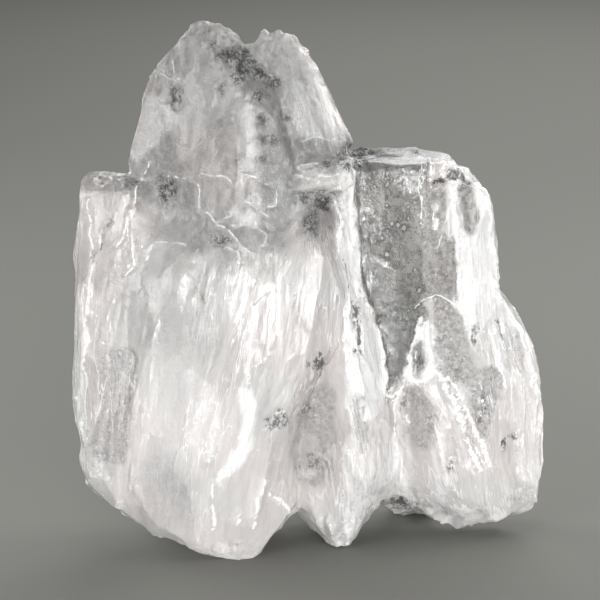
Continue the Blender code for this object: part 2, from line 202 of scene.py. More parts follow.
# Raised and broken edges, white where they catch the light: path, half width in mm, rise in mm, whiteness.
RIDGES = {
    "hackle_1": ([(170, 175), (184, 178), (197, 187), (201, 207), (215, 222), (230, 230), (240, 242),
                  (255, 256)], 0.16, 0.12, 0.88),
    "hackle_2": ([(200, 174), (222, 178), (232, 185)], 0.14, 0.12, 0.77),
    "hackle_3": ([(245, 175), (260, 180), (270, 185), (277, 192), (276, 205),
                  (267, 207)], 0.14, 0.12, 0.77),
    "hackle_4": ([(245, 202), (260, 210), (270, 216)], 0.14, 0.12, 0.77),
    "hackle_5": ([(255, 222), (265, 235), (265, 245)], 0.14, 0.12, 0.65),
    "hackle_6": ([(157, 242), (167, 241), (182, 245)], 0.14, 0.12, 0.65),
    "hackle_7": ([(222, 219), (232, 216), (231, 210)], 0.2, 0.12, 0.65),
    "hackle_8": ([(227, 247), (237, 252), (239, 260)], 0.12, 0.1, 0.88),
    "hackle_9": ([(143, 62), (150, 70), (166, 76), (180, 85)], 0.12, 0.12, 0.51),
    "hackle_10": ([(172, 60), (176, 74), (183, 86)], 0.12, 0.12, 0.65),
    "left_line_1": ([(150, 162), (138, 190), (128, 215), (118, 245)], 0.16, 0.3, 0.9),
    "left_line_2": ([(135, 200), (130, 240), (135, 262), (126, 275)], 0.16, 0.25, 0.8),
    "left_line_3": ([(88, 200), (92, 260), (86, 330), (88, 430)], 0.2, 0.3, 0.8),
    "tower_edge": ([(314, 70), (308, 60), (296, 46)], 0.2, 0.3, 0.7),
    "shoulder_1": ([(292, 170), (306, 166), (318, 165)], 0.12, 0.1, 0.6),
    "shoulder_2": ([(290, 176), (320, 177), (338, 173)], 0.12, 0.1, 0.7),
    "shoulder_3": ([(300, 142), (318, 138), (345, 141)], 0.14, 0.1, 0.6),
    "window_left": ([(350, 172), (352, 220), (358, 280), (367, 305), (378, 335), (384, 360),
                     (386, 392)], 0.5, 0.5, 1.0),
    "band_left": ([(336, 200), (340, 250), (348, 300), (352, 340), (368, 370), (372, 400)], 0.3, 0.4, 0.9),
    "window_line": ([(420, 152), (421, 222)], 0.14, 0.1, 0.8),
    "right_line_1": ([(430, 156), (433, 181)], 0.22, 0.2, 0.9),
    "right_line_2": ([(444, 160), (445, 180)], 0.3, 0.2, 0.9),
    "right_spine": ([(453, 184), (454, 210), (457, 240), (460, 300), (466, 330)], 0.4, 0.5, 1.0),
    "right_crest": ([(478, 184), (484, 205), (490, 240), (494, 300)], 0.4, 0.3, 1.0),
    "thin_line": ([(452, 200), (443, 225), (438, 250)], 0.2, 0.2, 0.9),
    "arch": ([(416, 308), (428, 299), (442, 297), (454, 303), (462, 316)], 0.16, 0.2, 0.8),
    "island_loop": ([(419, 318), (417, 338), (409, 350), (409, 366), (413, 379), (428, 378), (433, 364),
                     (432, 350), (427, 338), (424, 322)], 0.4, 0.5, 1.0),
    "hook": ([(406, 368), (403, 384), (392, 395), (386, 394)], 0.4, 0.4, 0.9),
    "rim_1": ([(434, 368), (446, 388), (457, 412), (466, 440), (480, 470)], 0.5, 0.5, 1.0),
    "rim_2": ([(446, 378), (458, 392), (472, 420), (482, 444), (490, 466)], 0.45, 0.5, 1.0),
    "lobe_line": ([(489, 330), (500, 370), (503, 392)], 0.25, 0.3, 0.9),
    "lobe_edge": ([(500, 300), (520, 335), (533, 380), (537, 440)], 0.3, 0.25, 0.8),
    "spike": ([(245, 364), (246, 386)], 0.3, 0.2, 1.0),
    "foot_line": ([(213, 480), (212, 530)], 0.3, 0.3, 0.9),
    "foot_line_2": ([(264, 480), (252, 528)], 0.25, 0.3, 0.8),
    "foot_edge": ([(270, 495), (284, 504), (292, 516)], 0.4, 0.3, 0.9),
    "fan": ([(398, 386), (393, 430), (396, 468)], 0.2, 0.25, 0.8),
}

# Slits and cracks, cut in and painted dark as painted shade inside them: path, half width in mm, depth in mm,
# darkness.
SLITS = {
    "left_crack": ([(108, 222), (100, 245), (93, 257)], 0.3, 0.4, 0.8),
    "ledge_crack": ([(112, 176), (116, 205), (108, 222)], 0.18, 0.3, 0.5),
    "middle_crack": ([(188, 275), (197, 288), (203, 298), (207, 305)], 0.2, 0.2, 0.5),
    "upper_slit": ([(340, 250), (345, 275), (347, 292)], 0.3, 0.5, 0.8),
    "lower_slit": ([(354, 303), (358, 325), (361, 352)], 0.5, 0.6, 0.9),
    "short_slit": ([(362, 398), (364, 414)], 0.25, 0.3, 0.7),
    "notch": ([(434, 184), (447, 180), (453, 172), (461, 177), (466, 184), (476, 180)], 0.5, 0.5, 1.0),
    "lobe_crack": ([(497, 318), (501, 330), (506, 338)], 0.25, 0.4, 0.8),
    "rim_slit_1": ([(440, 369), (453, 390), (464, 416), (474, 442)], 0.22, 0.35, 0.8),
    "wedge_side": ([(296, 405), (290, 440), (296, 470)], 0.25, 0.3, 0.4),
    "shoulder_under": ([(293, 195), (312, 193), (334, 193)], 0.3, 0.3, 0.8),
    "shoulder_seam": ([(292, 172), (312, 169), (336, 168)], 0.16, 0.2, 0.5),
    "window_edge": ([(359, 240), (364, 282), (374, 306), (384, 335)], 0.16, 0.2, 0.6),
}

# ---------------------------------------------------------------- the crystal's mesh

SKIN_CELL = 0.56  # mm, cell of the fine skin
SOFTENINGS = 3  # rounds that take the steps off the fine skin
MID_HEIGHT = 50.0  # mm, height from which lines of the grain are followed up and down
GRAIN_STEPS = 14
HOLLOWS = [(900, 9.0, 1.3, 0.25), (300, 1.6, 1.3, 0.3)]  # number; half length, half width and depth in mm
FACETS = 420
FACET_LIMIT = 0.9  # mm, farthest that a facet moves the skin
DRIFT = 4.0  # px that the painted outlines wander
PANE_EDGE, VEIL_EDGE, FROST_EDGE, FIBRE_EDGE = 2.5, 16.0, 3.0, 8.0  # px, how soft the outlines are
PANE_REAR, VEIL_REAR, FROST_REAR, SPOT_REAR = 0.85, 0.6, 0.6, 0.7  # share that shows through on the rear
NARROWEST = 0.45  # mm, half width of the narrowest line that the skin's cells can hold
FAR = 9.0  # distance given to places that have no line near them
REAR_SPOTS = 40
REAR_LINES = 140
FOLD = math.radians(80.0)  # an edge bent by more counts as folded
UNFOLDINGS = 4

# The grain of the salt: x, z and the lean from upright in degrees, above 0 where a line runs right
# on its way down.
GRAIN = [
    (-42, 40, -3), (-22, 90, -6), (-22, 60, -12), (-14, 30, -16), (-22, 10, -10), (-4, 55, -12),
    (2, 95, 24), (6, 65, 10), (11, 30, 9), (6, 8, 0), (18, 60, 2), (20, 15, 6), (28, 30, 26),
    (32, 12, 16), (34, 60, 3), (44, 25, 3),
]


def linear(hex_colour):
    """sRGB hex to linear RGBA."""
    channels = [int(hex_colour[i:i + 2], 16) / 255.0 for i in (1, 3, 5)]
    return (*[c / 12.92 if c <= 0.04045 else ((c + 0.055) / 1.055) ** 2.4 for c in channels], 1.0)


def soft_step(low, high, values):
    """0 below low, 1 above high, smooth between."""
    t = np.clip((values - low) / (high - low), 0.0, 1.0)
    return t * t * (3.0 - 2.0 * t)


def wobble(points, scale, seed):
    """Noise between -1 and 1 at places in mm; scale is the size of its lumps in mm."""
    wide, deep, high = scale
    shift = 31.7 * seed
    return np.array([noise.noise(Vector((x / wide + shift, y / deep, z / high))) for x, y, z in points])


def lean_at(x, z):
    """The grain's lean in radians, for arrays of places in mm."""
    total = np.zeros_like(x)
    weights = np.zeros_like(x)
    for mark_x, mark_z, degrees in GRAIN:
        weight = 1.0 / (4.0 + (x - mark_x) ** 2 + (z - mark_z) ** 2) ** 2
        total += weight * degrees
        weights += weight
    return np.radians(total / weights)


def grain_coordinate(points):
    """A coordinate across the grain: it stays the same along a line of the grain."""
    across = points[:, 0].copy()
    above = points[:, 2] - MID_HEIGHT
    for step in range(GRAIN_STEPS):
        z = MID_HEIGHT + above * (step + 0.5) / GRAIN_STEPS
        across += np.tan(lean_at(points[:, 0], z)) * above / GRAIN_STEPS
    return across


def soften(bm, verts):
    """Moves vertices half of the way to the middle of their neighbours."""
    bmesh.ops.smooth_vert(bm, verts=verts, factor=0.5, use_axis_x=True, use_axis_y=True, use_axis_z=True)


def fine_skin():
    """The crystal's solid as a mesh of even, small cells, softened a little."""
    bm = bmesh.new()
    bm.from_mesh(frame["nodes"]["salt_crystal"].data)
    bmesh.ops.remove_doubles(bm, verts=bm.verts[:], dist=1e-6)
    mesh = bpy.data.meshes.new("salt_skin")
    bm.to_mesh(mesh)
    bm.free()
    crystal = bpy.data.objects.new("salt_skin", mesh)
    bpy.context.scene.collection.objects.link(crystal)
    cells = crystal.modifiers.new("cells", "REMESH")
    cells.mode = "VOXEL"
    cells.voxel_size = SKIN_CELL * MM
    evaluated = crystal.evaluated_get(bpy.context.evaluated_depsgraph_get())
    settled = bpy.data.meshes.new_from_object(evaluated)
    crystal.modifiers.clear()
    crystal.data = settled
    bm = bmesh.new()
    bm.from_mesh(settled)
    for _ in range(SOFTENINGS):
        soften(bm, bm.verts[:])
    bm.to_mesh(settled)
    bm.free()
    return crystal


def read_vectors(mesh, name):
    """A vector of each vertex, as rows of an array."""
    values = np.empty(len(mesh.vertices) * 3)
    mesh.vertices.foreach_get(name, values)
    return values.reshape(-1, 3)


def hollow_out(points, normals, rng, tree, number, length, width, depth):
    """Depths in mm of many hollows that run along the grain."""
    sunk = np.zeros(len(points))
    for _ in range(number):
        place = rng.randrange(len(points))
        centre, normal = points[place], normals[place]
        lean = float(lean_at(centre[0:1], centre[2:3])[0]) + rng.gauss(0.0, 0.08)
        down = np.array((math.sin(lean), rng.uniform(-0.3, 0.3), -math.cos(lean)))
        along = down - normal * down.dot(normal)
        along /= max(np.linalg.norm(along), 0.05)
        across = np.cross(along, normal)
        spread = rng.uniform(0.5, 1.5)
        long, wide = length * spread, width * rng.uniform(0.6, 1.4)
        near = np.array([item[1] for item in tree.find_range(centre, max(long, wide))], dtype=int)
        offset = points[near] - centre
        u = offset @ along / long
        v = offset @ across / wide
        w = offset @ normal / (wide * 1.5)
        hollow = depth * min(spread, 1.2) * (1.0 - u * u - v * v - w * w)
        hollow[normals[near] @ normal < 0.3] = 0.0
        sunk[near] = np.maximum(sunk[near], hollow)
    return sunk


def facet(points, normals, grain, rng, number, hold, limit):
    """Moves in mm that flatten the skin into long plane facets along the grain."""
    stretch = np.array((1.0, 1.0, 0.3))
    turn = 7.0  # mm of distance that a full turn of the normal counts for
    marks = np.hstack((grain * stretch, normals * turn))
    seeds = marks[rng.sample(range(len(points)), number)]
    nearest = np.empty((len(points), 2), dtype=int)
    gaps = np.empty((len(points), 2))
    for start in range(0, len(points), 8192):
        part = slice(start, start + 8192)
        reach = (marks[part] ** 2).sum(1)[:, None] + (seeds ** 2).sum(1) - 2.0 * marks[part] @ seeds.T
        order = np.argpartition(reach, 1, axis=1)[:, :2]
        reach = np.sqrt(np.maximum(np.take_along_axis(reach, order, axis=1), 0.0))
        swap = np.argsort(reach, axis=1)
        nearest[part] = np.take_along_axis(order, swap, axis=1)
        gaps[part] = np.take_along_axis(reach, swap, axis=1)
    own = nearest[:, 0]
    count = np.maximum(np.bincount(own, minlength=number), 1)[:, None]
    middles = np.stack([np.bincount(own, points[:, i], number) for i in range(3)], axis=1) / count
    facings = np.stack([np.bincount(own, normals[:, i], number) for i in range(3)], axis=1)
    facings /= np.maximum(np.linalg.norm(facings, axis=1), 1e-6)[:, None]
    share = 0.5 + 0.5 * soft_step(0.0, 0.9, gaps[:, 1] - gaps[:, 0])
    moves = np.zeros_like(points)
    for column, weight in ((0, share), (1, 1.0 - share)):
        cell = nearest[:, column]
        off = ((points - middles[cell]) * facings[cell]).sum(1)
        moves -= facings[cell] * (np.clip(off, -limit, limit) * hold * weight)[:, None]
    return moves


def front_places(points):
    """Where points in mm fall in the front view, in its px."""
    offset = points - AIM
    scale = VIEW_SCALE * DISTANCE / (DISTANCE - offset @ TOWARDS)
    return np.stack((VIEW_SIZE / 2 + offset[:, 0] * scale, VIEW_SIZE / 2 - offset @ UPWARDS * scale), axis=1)


def smooth_path(path, closed=False):
    """A path's points with three more between each two, on a curve through them."""
    ends = [path[-1], *path, path[0], path[1]] if closed else [path[0], *path, path[-1]]
    curve = []
    for before, start, end, after in zip(ends, ends[1:], ends[2:], ends[3:]):
        for t in (0.0, 0.25, 0.5, 0.75):
            curve.append(tuple(
                0.5 * (2 * b + (c - a) * t + (2 * a - 5 * b + 4 * c - d) * t * t
                       + (3 * b - a - 3 * c + d) * t ** 3)
                for a, b, c, d in zip(before, start, end, after)))
    return curve if closed else [*curve, path[-1]]


def path_distance(places, path):
    """Signed distance of places from a path in px, and the part of it that runs past the path's ends."""
    nearest = np.full(len(places), 1e6)
    past = np.zeros(len(places))
    last = len(path) - 2
    for i, (start, end) in enumerate(zip(np.array(path[:-1]), np.array(path[1:]))):
        step = end - start
        offset = places - start
        t = offset @ step / step.dot(step)
        held = np.clip(t, 0.0, 1.0)
        gap = offset - held[:, None] * step
        distance = np.hypot(gap[:, 0], gap[:, 1])
        nearer = distance < np.abs(nearest)
        side = np.where(step[0] * gap[:, 1] - step[1] * gap[:, 0] < 0.0, -1.0, 1.0)
        nearest[nearer] = (side * distance)[nearer]
        beyond = np.abs(t - held) * np.linalg.norm(step)
        beyond[(t < 0.0) & (i > 0) | (t > 1.0) & (i < last)] = 0.0
        past[nearer] = beyond[nearer]
    return nearest, past


def inside(places, outline):
    """Which places an outline holds."""
    held = np.zeros(len(places), dtype=bool)
    for (x0, y0), (x1, y1) in zip(outline, outline[1:] + outline[:1]):
        crosses = (y0 > places[:, 1]) != (y1 > places[:, 1])
        rise = y1 - y0 if y1 != y0 else 1e-9
        held ^= crosses & (places[:, 0] < (x1 - x0) * (places[:, 1] - y0) / rise + x0)
    return held


def region(places, outline, soft):
    """1 inside an outline and 0 outside, over a soft edge in px."""
    curve = smooth_path(outline, closed=True)
    distance = np.abs(path_distance(places, [*curve, curve[0]])[0])
    return soft_step(-soft, soft, np.where(inside(places, curve), distance, -distance))


def paint(places, regions, soft):
    """The strongest of several regions at each place."""
    field = np.zeros(len(places))
    for outline, strength in regions.values():
        field = np.maximum(field, strength * region(places, outline, soft))
    return field


def blots(places, spots):
    """The strongest of several round spots at each place."""
    field = np.zeros(len(places))
    for x, y, half_wide, half_high, strength in spots:
        reach = np.hypot((places[:, 0] - x) / half_wide, (places[:, 1] - y) / half_high)
        field = np.maximum(field, strength * soft_step(1.6, 0.4, reach))
    return field


def trail(points, normals, tree, rng, steps):
    """A random line down the grain: the points beside it, their signed distance in mm and its strength."""
    place = rng.randrange(len(points))
    line = [points[place]]
    turn = rng.gauss(0.0, 0.12)
    for _ in range(steps):
        lean = float(lean_at(line[-1][0:1], line[-1][2:3])[0]) + turn + rng.gauss(0.0, 0.15)
        down = np.array((math.sin(lean), 0.0, -math.cos(lean)))
        down -= normals[place] * down.dot(normals[place])
        place = tree.find(line[-1] + down / max(np.linalg.norm(down), 0.2))[1]
        if np.linalg.norm(points[place] - line[-1]) > 0.3:
            line.append(points[place])
    near = np.array(sorted({item[1] for spot in line for item in tree.find_range(spot, 2.4)}))
    distance = np.full(len(near), FAR)
    hold = np.zeros(len(near))
    for i, (start, end) in enumerate(zip(line[:-1], line[1:])):
        step = end - start
        offset = points[near] - start
        t = np.clip(offset @ step / step.dot(step), 0.0, 1.0)
        gap = offset - t[:, None] * step
        length = np.linalg.norm(gap, axis=1)
        nearer = length < np.abs(distance)
        side = np.where(np.einsum("ij,ij->i", np.cross(step, gap), normals[near]) < 0.0, -1.0, 1.0)
        distance[nearer] = (side * length)[nearer]
        hold[nearer] = min(1.0, 0.3 * (i + 1), 0.3 * (len(line) - 1 - i))
    return near, distance, hold * soft_step(1.6, 0.9, np.abs(distance))


def open_folds(mesh):
    """Smooths the few places where the skin is folded sharply on itself."""
    bm = bmesh.new()
    bm.from_mesh(mesh)
    for _ in range(UNFOLDINGS):
        folded = {vert for edge in bm.edges if edge.calc_face_angle(0.0) > FOLD for vert in edge.verts}
        soften(bm, list(folded))
        bm.normal_update()
    bm.to_mesh(mesh)
    bm.free()


def write(mesh, name, *columns):
    """Keeps three numbers of each vertex as an attribute."""
    values = mesh.attributes.new(name, "FLOAT_VECTOR", "POINT")
    values.data.foreach_set("vector", np.stack(columns, axis=1).ravel())


def add_line(fields, near, distance, half_width, height, hold, sign):
    """Raises a line or cuts it in, and marks where the skin near it is painted as an edge or a slit."""
    rise, line_place, line_tone = fields
    body = max(half_width, NARROWEST)
    rise[near] += sign * height * hold * np.maximum(0.0, 1.0 - (distance / (2.0 * body)) ** 2) ** 2
    place = distance / half_width
    nearer = (hold > 0.0) & (np.abs(place) < np.abs(line_place[near]))
    line_place[near[nearer]] = place[nearer]
    line_tone[near[nearer]] = (sign * hold)[nearer]


def carve(crystal):
    """Fine relief and the painted fields of the crystal's skin."""
    mesh = crystal.data
    points = read_vectors(mesh, "co") / MM
    normals = read_vectors(mesh, "normal")
    for x, y, half_wide, half_high, right, up in SHIFTS:
        share = blots(front_places(points), [(x, y, half_wide, half_high, 1.0)])
        points += np.outer(share, (right, 0.0, up))
    tree = KDTree(len(points))
    for i, point in enumerate(points):
        tree.insert(point, i)
    tree.balance()
    rng = random.Random(SEED)
    across = grain_coordinate(points)
    grain = np.stack((across, points[:, 1], points[:, 2]), axis=1)

    sunk = np.maximum.reduce([hollow_out(points, normals, rng, tree, *kind) for kind in HOLLOWS])
    fine = wobble(grain, (1.4, 2.0, 12.0), 1)

    front = soft_step(0.0, 0.35, normals @ TOWARDS)
    places = front_places(points)
    drift = np.stack([wobble(points, (3.0, 3.0, 3.0), seed) for seed in (2, 3)], axis=1)
    places = places + drift * DRIFT

    rear = 1.0 - front
    haze = wobble(grain, (7.0, 7.0, 36.0), 4) + 0.35 * wobble(grain, (2.5, 2.5, 12.0), 7)
    clear = paint(places, PANES, PANE_EDGE) * (front + PANE_REAR * rear)
    clear = clear + rear * 0.3 * soft_step(0.15, 0.4, haze)
    veil = paint(places, VEILS, VEIL_EDGE) * (front + VEIL_REAR * rear)
    veil = veil + rear * 0.3 * soft_step(-0.05, -0.4, haze)
    frost = paint(places, FROST, FROST_EDGE) * (front + FROST_REAR * rear)
    frost = frost + rear * 0.5 * soft_step(0.12, 0.0, np.abs(haze))
    fibre = np.maximum(paint(places, FIBRES, FIBRE_EDGE) * front, rear * 0.5)
    dark = blots(places, SPOTS) * (front + SPOT_REAR * rear)
    for _ in range(REAR_SPOTS):
        centre = points[rng.randrange(len(points))]
        reach = np.linalg.norm((points - centre) / (2.0, 2.0, 2.8), axis=1)
        dark = np.maximum(dark, rear * rng.uniform(0.5, 1.0) * soft_step(1.5, 0.3, reach))
    crumb = np.maximum(blots(places, CRUMBS) * np.maximum(front, 0.5), 0.5 * dark)

    rise = np.zeros(len(points))
    line_place = np.full(len(points), FAR)
    line_tone = np.zeros(len(points))
    fields = (rise, line_place, line_tone)
    everywhere = np.arange(len(points))
    marks = [(*mark, 1.0) for mark in RIDGES.values()] + [(*mark, -1.0) for mark in SLITS.values()]
    for path, half_width, height, strength, sign in marks:
        distance, past = path_distance(places, smooth_path(path))
        distance /= VIEW_SCALE
        past /= VIEW_SCALE
        hold = strength * soft_step(0.6, 0.0, past) * soft_step(1.6, 0.9, np.abs(distance)) * front
        add_line(fields, everywhere, distance, half_width, height, hold, sign)

    for number in range(REAR_LINES):
        sign = 1.0 if number % 3 else -1.0
        height = rng.uniform(0.15, 0.4)
        half_width = rng.uniform(0.15, 0.45)
        near, distance, hold = trail(points, normals, tree, rng, rng.randrange(8, 30))
        hold = hold * rear[near] * rng.uniform(0.5, 1.0)
        add_line(fields, near, distance, half_width, height, hold, sign)

    hold = 0.3 + 0.5 * np.clip(1.0 - veil - 0.5 * clear, 0.0, 1.0)
    points = points + facet(points, normals, grain, rng, FACETS, hold, FACET_LIMIT)
    rise += 0.15 + 0.25 * frost - 0.3 * clear
    rise -= sunk * (1.0 - 0.75 * clear) * (1.0 - 0.6 * veil) * (0.35 + 0.65 * fibre)
    rise -= 0.10 * fine * (1.0 - 0.7 * clear) * (0.2 + 0.8 * fibre ** 2)
    rise += crumb * (0.8 * wobble(points, (1.3, 1.3, 1.3), 5) + 0.8 * wobble(points, (3.0, 3.0, 3.0), 6))
    points = points + normals * rise[:, None]
    points = np.clip(points, np.array(cad_low) / MM, np.array(cad_high) / MM)
    mesh.vertices.foreach_set("co", (points * MM).ravel())
    mesh.update()
    open_folds(mesh)
    write(mesh, "grain", across, points[:, 1], points[:, 2])
    write(mesh, "body", clear, veil, dark)
    write(mesh, "line", line_place, line_tone, frost)
    write(mesh, "wear", fibre, crumb, np.zeros(len(points)))


# ---------------------------------------------------------------- materials


class Tree:
    """A short way to write shader nodes."""

    def __init__(self, material):
        material.use_nodes = True
        self.tree = material.node_tree
        self.shader = self.tree.nodes["Principled BSDF"]

    def add(self, kind, settings=None, **inputs):
        """Adds a node; inputs are values or sockets, named like the node's sockets, or i0, i1 by place."""
        node = self.tree.nodes.new(kind)
        for name, value in (settings or {}).items():
            setattr(node, name, value)
        for name, value in inputs.items():
            key = int(name[1:]) if name[0] == "i" and name[1:].isdigit() else name.replace("_", " ")
            self.put(node.inputs[key], value)
        return node

    def put(self, socket, value):
        """Links a socket to an input, or sets the input to a value."""
        if isinstance(value, bpy.types.NodeSocket):
            self.tree.links.new(value, socket)
        else:
            socket.default_value = value

    def maths(self, operation, a, b=0.0, c=0.0, clamp=False):
        """One operation on numbers."""
        settings = {"operation": operation, "use_clamp": clamp}
        return self.add("ShaderNodeMath", settings, i0=a, i1=b, i2=c).outputs[0]

    def times(self, a, b, clamp=False):
        """One number times another."""
        return self.maths("MULTIPLY", a, b, clamp=clamp)

    def plus(self, value, part, share, clamp=False):
        """A value with a share of another added."""
        return self.maths("ADD", value, self.times(part, share), clamp=clamp)

    def less(self, value, part, share, clamp=False):
        """A value with a share of another taken off."""
        return self.maths("SUBTRACT", value, self.times(part, share), clamp=clamp)

    def scaled(self, value, factor, start, clamp=False):
        """A value times a factor, plus a start."""
        return self.maths("MULTIPLY_ADD", value, factor, start, clamp=clamp)

    def ramp(self, value, low, high, to_low=0.0, to_high=1.0):
        """A value taken smoothly from one range to another."""
        node = self.add("ShaderNodeMapRange", {"interpolation_type": "SMOOTHSTEP"}, Value=value, From_Min=low,
                        From_Max=high, To_Min=to_low, To_Max=to_high)
        return node.outputs[0]

    def mix(self, factor, a, b):
        """A colour between two others."""
        node = self.add("ShaderNodeMix", {"data_type": "RGBA"})
        self.put(node.inputs[0], factor)
        self.put(node.inputs[6], a)
        self.put(node.inputs[7], b)
        return node.outputs[2]

    def noise(self, vector, scale, detail=3.0, rough=0.5):
        """Noise over a vector in mm; scale is the size of its lumps in mm along each axis."""
        stretched = self.add("ShaderNodeVectorMath", {"operation": "DIVIDE"}, i0=vector, i1=scale).outputs[0]
        return self.add("ShaderNodeTexNoise", None, Vector=stretched, Scale=1.0, Detail=detail,
                        Roughness=rough).outputs[0]

    def crease(self, value, width):
        """Thin lines where a noise crosses its middle."""
        off_middle = self.maths("ABSOLUTE", self.maths("SUBTRACT", value, 0.5))
        return self.maths("SUBTRACT", 1.0, self.ramp(off_middle, 0.0, width))

    def ragged_edge(self, field, ragged, amount):
        """A field whose soft edge is broken up by noise."""
        edge = self.times(self.times(field, self.maths("SUBTRACT", 1.0, field)), amount)
        return self.scaled(edge, ragged, field, clamp=True)

    def field(self, name):
        """A painted field, as a vector and as its three numbers."""
        source = self.add("ShaderNodeAttribute", {"attribute_name": name})
        parts = self.add("ShaderNodeSeparateXYZ", None, Vector=source.outputs["Vector"])
        return source.outputs["Vector"], parts.outputs[0], parts.outputs[1], parts.outputs[2]


# Colours of the salt. Where there are two, the first is the rosier one and the second the greyer.
MILK = ("#ECE6E4", "#EAE8E6")
DULL_MILK = ("#A09A98", "#9A9998")
MILK_VEIN = "#FAF9F8"
FROST_WHITE = "#F4F4F3"
PANE_DARK_SEEN_THROUGH = "#92918D"
PANE_PALE_SEEN_THROUGH = "#DEDDDA"
PANE_VEILED = "#5E5E5B"
PANE_VEIN = "#E8E8E6"
PANE_CRACK = "#454543"
BUBBLE_RIM = "#565654"
BUBBLE = "#F8F8F7"
INCLUSION = "#302F2E"
INCLUSION_VEIN = "#D8D6D4"
EDGE_WHITE_AND_HIGHLIGHT = "#FAFAF9"
SLIT_SHADE = "#2C2B2A"
HALITE_IOR = 1.544


def salt_patterns(t, grain, place):
    """The noises and lines of the salt, by name; along the grain, or over places in mm."""
    ragged = t.maths("SUBTRACT", t.noise(place, (0.8, 0.8, 0.8), 2.0, 0.7), 0.5)
    broken = t.ramp(t.noise(place, (1.4, 1.4, 1.4), 1.0), 0.36, 0.5)
    cracks = t.crease(t.noise(place, (1.3, 1.3, 1.7), 2.0, 0.6), 0.035)
    return {
        "cloud": t.ramp(t.noise(place, (9.0, 9.0, 12.0), 3.0, 0.6), 0.38, 0.62),
        "greyer": t.ramp(t.noise(place, (16.0, 16.0, 16.0), 0.0), 0.4, 0.6),
        "grit": t.ramp(t.noise(place, (1.3, 1.3, 1.6), 3.0, 0.7), 0.4, 0.6),
        "streak": t.ramp(t.noise(grain, (1.7, 2.3, 18.0), 3.0, 0.6), 0.4, 0.6),
        "thread": t.ramp(t.noise(grain, (0.45, 0.8, 7.0), 1.0, 0.6), 0.4, 0.6),
        "crinkle": t.noise(place, (1.1, 1.1, 1.3), 4.0, 0.75),
        "crack": t.crease(t.noise(grain, (2.2, 3.0, 18.0), 2.0, 0.55), 0.014),
        "needle": t.crease(t.noise(grain, (0.9, 1.4, 12.0), 1.0, 0.5), 0.03),
        "patch": t.ramp(t.noise(grain, (9.0, 9.0, 16.0), 1.0), 0.42, 0.58),
        "vein": t.crease(t.noise(place, (2.4, 2.4, 3.2), 4.0, 0.7), 0.02),
        "net": t.times(cracks, broken),
        "ragged": ragged,
        "broken": broken,
    }


def bubbles(t, place, ragged):
    """Small uneven bubbles in the clear panes, and the dark rims round them; the bright middle is a painted
    highlight and the dark rim is painted where light bends away.
    """
    cell_place = t.add("ShaderNodeVectorMath", {"operation": "DIVIDE"}, i0=place, i1=(1.1, 1.1, 1.5))
    cell = t.add("ShaderNodeTexVoronoi", None, Scale=1.0, Randomness=1.0, Vector=cell_place.outputs[0])
    chance = t.add("ShaderNodeSeparateColor", None, Color=cell.outputs["Color"]).outputs[0]
    size = t.ramp(chance, 0.1, 1.0, 0.06, 0.46)
    size = t.times(size, t.ramp(t.noise(place, (5.0, 5.0, 9.0), 1.0), 0.4, 0.6, 0.6, 1.0))
    reach = t.scaled(ragged, 0.7, cell.outputs["Distance"])
    bubble = t.ramp(t.maths("SUBTRACT", reach, size), -0.14, 0.0, 1.0, 0.0)
    rim = t.ramp(t.less(reach, size, 1.7), -0.12, 0.02, 1.0, 0.0)
    return bubble, rim


